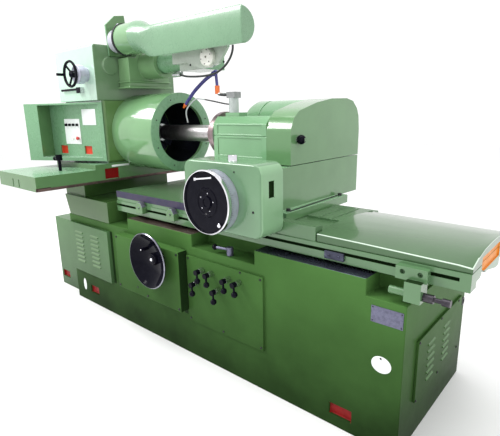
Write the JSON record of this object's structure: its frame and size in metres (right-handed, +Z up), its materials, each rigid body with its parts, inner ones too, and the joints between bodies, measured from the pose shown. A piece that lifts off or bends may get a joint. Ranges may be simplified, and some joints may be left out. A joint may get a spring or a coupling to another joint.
{
  "type": "grinding machine",
  "caption": "Floor-standing bore grinding machine: workhead with guarded chuck and an end-face grinding arm on the left, sliding table with a long-quill wheelhead on a cast bed.",
  "frame": {"origin": "on the floor under the middle of the bed casting", "axes": "+X along the bed from the workhead to the table's free end, +Y from the operator's side to the back, +Z up"},
  "size_m": [2.8293, 1.252, 1.8093],
  "materials": {
    "green_enamel": "glossy",
    "deep_green_enamel": "glossy",
    "bright_steel": "polished",
    "black_plastic": "glossy",
    "white_enamel": "satin",
    "cast_grey": "satin",
    "red_plastic": "glossy",
    "grinding_wheel": "satin",
    "black_rubber": "satin",
    "hose_plastic": "satin"
  },
  "bodies": {
    "base": {"bed_casting": "deep_green_enamel", "electrical_cabinet": "deep_green_enamel", "louvre_door": "green_enamel", "table_drive_apron": "green_enamel", "lever_panel": "green_enamel", "end_louvre_panel": "deep_green_enamel", "workhead_bridge": "deep_green_enamel"},
    "workhead": {"workhead_slide": "green_enamel", "headstock_housing": "green_enamel", "control_console": "green_enamel", "switch_plate": "black_plastic", "chuck_guard": "green_enamel", "face_unit_box": "green_enamel", "ram_saddle": "green_enamel", "motor_mount_plate": "green_enamel"},
    "work_spindle": {"work_chuck": "bright_steel"},
    "slide_clamp": {"slide_clamp_lever": "bright_steel"},
    "face_ram": {"ram_bar": "green_enamel", "ram_bracket": "white_enamel", "arm_housing": "green_enamel", "face_motor": "cast_grey", "cable_loop": "black_rubber"},
    "face_disc": {"face_spindle_disc": "white_enamel"},
    "face_wheel": {"face_handwheel": "black_plastic", "face_feed_dial": "bright_steel"},
    "ram_clamp": {"ram_clamp_lever": "black_plastic"},
    "stop_push": {"stop_button": "red_plastic"},
    "table": {"sliding_table": "green_enamel", "table_end_cover": "green_enamel", "trip_dog_1": "green_enamel", "trip_dog_2": "green_enamel", "right_trip_bracket": "green_enamel", "cross_feed_apron": "green_enamel"},
    "table_wheel": {"table_handwheel": "black_plastic"},
    "stop_screw_body": {"stop_screw": "black_plastic"},
    "end_lever": {"table_end_lever": "black_plastic"},
    "cross_wheel": {"cross_handwheel": "black_plastic", "cross_feed_dial": "bright_steel"},
    "crank": {"crank_handle": "bright_steel"},
    "wheelhead": {"wheelhead_carriage": "green_enamel", "spindle_housing": "green_enamel", "quill": "cast_grey", "wheel_motor": "green_enamel", "coolant_valve": "bright_steel", "coolant_hose": "hose_plastic", "drive_belt": "black_rubber"},
    "wheel_spindle": {"wheel_arbor": "grinding_wheel"},
    "motor_shaft": {"motor_pulley": "cast_grey"},
    "cover": {"belt_cover": "green_enamel"},
    "reverser": {"reversing_lever": "cast_grey"},
    "lever_1": {"control_lever_1": "black_plastic"},
    "lever_2": {"control_lever_2": "black_plastic"},
    "lever_3": {"control_lever_3": "black_plastic"},
    "lever_4": {"control_lever_4": "black_plastic"},
    "lever_5": {"control_lever_5": "black_plastic"},
    "lever_6": {"control_lever_6": "black_plastic"},
    "selector_1": {"selector_switch_1": "black_plastic"},
    "selector_2": {"selector_switch_2": "black_plastic"},
    "selector_3": {"selector_switch_3": "black_plastic"},
    "selector_4": {"selector_switch_4": "black_plastic"}
  },
  "joints": [
    {"name": "workhead_cross_slide", "type": "slide", "parent": "base", "child": "workhead", "axis": [0, 1, 0], "range_m": [-0.03, 0.03]},
    {"name": "work_spindle_spin", "type": "hinge", "parent": "workhead", "child": "work_spindle", "pos_m": [-0.715, 0, 1.13], "axis": [1, 0, 0], "continuous": true},
    {"name": "slide_clamp_turn", "type": "hinge", "parent": "workhead", "child": "slide_clamp", "pos_m": [-0.905, -0.5, 0.955], "axis": [0, 0, 1], "range_deg": [-35, 35]},
    {"name": "ram_slide", "type": "slide", "parent": "workhead", "child": "face_ram", "axis": [1, 0, 0], "range_m": [0, 0.1]},
    {"name": "face_wheel_turn", "type": "hinge", "parent": "workhead", "child": "face_wheel", "pos_m": [-0.846, -0.34, 1.4723], "axis": [0, 1, 0], "range_deg": [0, 720.5]},
    {"name": "face_disc_spin", "type": "hinge", "parent": "face_ram", "child": "face_disc", "pos_m": [0.0273, -0.148, 1.506], "axis": [0, 1, 0], "continuous": true},
    {"name": "ram_clamp_turn", "type": "hinge", "parent": "workhead", "child": "ram_clamp", "pos_m": [-0.908, -0.315, 1.3873], "axis": [0, 1, 0], "range_deg": [-10, 50]},
    {"name": "stop_button_push", "type": "slide", "parent": "workhead", "child": "stop_push", "axis": [-0.2072, 0.9783, 0], "range_m": [0, 0.004], "stiffness_N_per_m": 400},
    {"name": "table_slide", "type": "slide", "parent": "base", "child": "table", "axis": [1, 0, 0], "range_m": [0, 0.35]},
    {"name": "table_wheel_turn", "type": "hinge", "parent": "base", "child": "table_wheel", "pos_m": [-0.138, -0.44, 0.512], "axis": [0, 1, 0], "range_deg": [0, 1260.5]},
    {"name": "stop_screw_turn", "type": "hinge", "parent": "table", "child": "stop_screw_body", "pos_m": [1.245, -0.3363, 0.6425], "axis": [1, 0, 0], "range_deg": [-180, 180]},
    {"name": "end_lever_swing", "type": "hinge", "parent": "table", "child": "end_lever", "pos_m": [-0.648, -0.275, 0.773], "axis": [1, 0, 0], "range_deg": [-30, 5]},
    {"name": "cross_slide", "type": "slide", "parent": "table", "child": "wheelhead", "axis": [0, 1, 0], "range_m": [-0.03, 0.03]},
    {"name": "cross_wheel_turn", "type": "hinge", "parent": "table", "child": "cross_wheel", "pos_m": [0.352, -0.47, 0.8825], "axis": [0, 1, 0], "range_deg": [-541, 541]},
    {"name": "crank_handle_fold", "type": "hinge", "parent": "cross_wheel", "child": "crank", "pos_m": [0.306, -0.5112, 0.9785], "axis": [0, 0, 1], "range_deg": [-90, 0]},
    {"name": "motor_spin", "type": "hinge", "parent": "wheelhead", "child": "motor_shaft", "pos_m": [0.4, 0.262, 1.152], "axis": [1, 0, 0], "continuous": true},
    {"name": "wheel_spin", "type": "hinge", "parent": "wheelhead", "child": "wheel_spindle", "pos_m": [0, 0, 1.13], "axis": [1, 0, 0], "continuous": true},
    {"name": "belt_cover_open", "type": "hinge", "parent": "wheelhead", "child": "cover", "pos_m": [0.3683, 0.526, 1.15], "axis": [0, 0, 1], "range_deg": [0, 100]},
    {"name": "reversing_lever_turn", "type": "hinge", "parent": "base", "child": "reverser", "pos_m": [0.318, -0.33, 0.62], "axis": [0, 0, 1], "range_deg": [-20, 20]},
    {"name": "control_lever_1_turn", "type": "hinge", "parent": "base", "child": "lever_1", "pos_m": [0.166, -0.4, 0.503], "axis": [0, 1, 0], "range_deg": [-25, 25]},
    {"name": "control_lever_2_turn", "type": "hinge", "parent": "base", "child": "lever_2", "pos_m": [0.229, -0.4, 0.5], "axis": [0, 1, 0], "range_deg": [-25, 25]},
    {"name": "control_lever_3_turn", "type": "hinge", "parent": "base", "child": "lever_3", "pos_m": [0.125, -0.4, 0.428], "axis": [0, 1, 0], "range_deg": [-25, 25]},
    {"name": "control_lever_4_turn", "type": "hinge", "parent": "base", "child": "lever_4", "pos_m": [0.272, -0.4, 0.427], "axis": [0, 1, 0], "range_deg": [-25, 25]},
    {"name": "control_lever_5_turn", "type": "hinge", "parent": "base", "child": "lever_5", "pos_m": [0.341, -0.4, 0.5], "axis": [0, 1, 0], "range_deg": [-25, 25]},
    {"name": "control_lever_6_turn", "type": "hinge", "parent": "base", "child": "lever_6", "pos_m": [0.406, -0.4, 0.5], "axis": [0, 1, 0], "range_deg": [-25, 25]},
    {"name": "selector_1_turn", "type": "hinge", "parent": "workhead", "child": "selector_1", "pos_m": [-1.0648, -0.35428, 1.183], "axis": [-0.2072, 0.9783, 0], "range_deg": [-45, 45]},
    {"name": "selector_2_turn", "type": "hinge", "parent": "workhead", "child": "selector_2", "pos_m": [-1.03251, -0.34745, 1.183], "axis": [-0.2072, 0.9783, 0], "range_deg": [-45, 45]},
    {"name": "selector_3_turn", "type": "hinge", "parent": "workhead", "child": "selector_3", "pos_m": [-1.00023, -0.34061, 1.183], "axis": [-0.2072, 0.9783, 0], "range_deg": [-45, 45]},
    {"name": "selector_4_turn", "type": "hinge", "parent": "workhead", "child": "selector_4", "pos_m": [-0.96795, -0.33377, 1.183], "axis": [-0.2072, 0.9783, 0], "range_deg": [-45, 45]}
  ],
  "couplings": [
    {"joint": "table_wheel_turn", "follows": "table_slide", "rad_per_m": 62.832},
    {"joint": "cross_wheel_turn", "follows": "cross_slide", "rad_per_m": 314.16},
    {"joint": "face_wheel_turn", "follows": "ram_slide", "rad_per_m": 125.66},
    {"joint": "wheel_spin", "follows": "motor_spin", "ratio": 1.6429}
  ]
}
